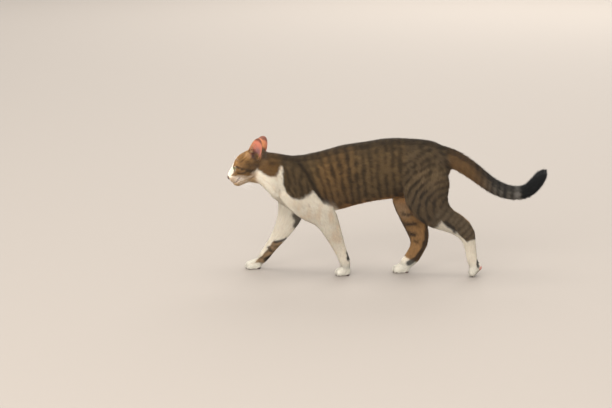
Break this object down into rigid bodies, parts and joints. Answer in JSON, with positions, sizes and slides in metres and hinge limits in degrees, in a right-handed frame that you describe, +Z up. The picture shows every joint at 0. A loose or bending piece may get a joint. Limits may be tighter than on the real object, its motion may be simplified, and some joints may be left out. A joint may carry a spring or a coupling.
{
  "type": "domestic cat",
  "caption": "Life-size still model of a slim brown tabby and white house cat in mid walk, head low and tail curled up at the end.",
  "frame": {"origin": "on the floor, under the middle of the cat's overall box", "axes": "+Z up; the cat walks towards -X; -Y is its left side"},
  "size_m": [0.6371, 0.0985, 0.277],
  "materials": {
    "coat_tabby": "short dense fur, brown with dark stripes",
    "coat_white": "short dense white fur",
    "coat_dark": "short dense black-brown fur",
    "ear_skin": "thin bare skin with sparse short hair",
    "nose_and_pads": "bare pebbled skin",
    "eye": "wet gloss over a green-gold iris and a slit pupil",
    "whisker": "fine stiff white hair"
  },
  "bodies": {
    "root": {"head": "coat_tabby", "neck": "coat_tabby", "trunk": "coat_tabby", "tail_root": "coat_tabby", "tail_middle": "coat_tabby", "tail_tip": "coat_dark", "ear_left": "ear_skin", "ear_right": "ear_skin", "eye_left": "eye", "eye_right": "eye", "upper_arm_left": "coat_white", "forearm_left": "coat_white", "forepaw_left": "coat_white", "upper_arm_right": "coat_white", "forearm_right": "coat_white", "forepaw_right": "coat_white", "thigh_left": "coat_tabby", "shank_left": "coat_tabby", "hock_left": "coat_white", "hindpaw_left": "coat_white", "thigh_right": "coat_tabby", "shank_right": "coat_tabby", "hock_right": "coat_tabby", "hindpaw_right": "coat_white"}
  },
  "joints": []
}
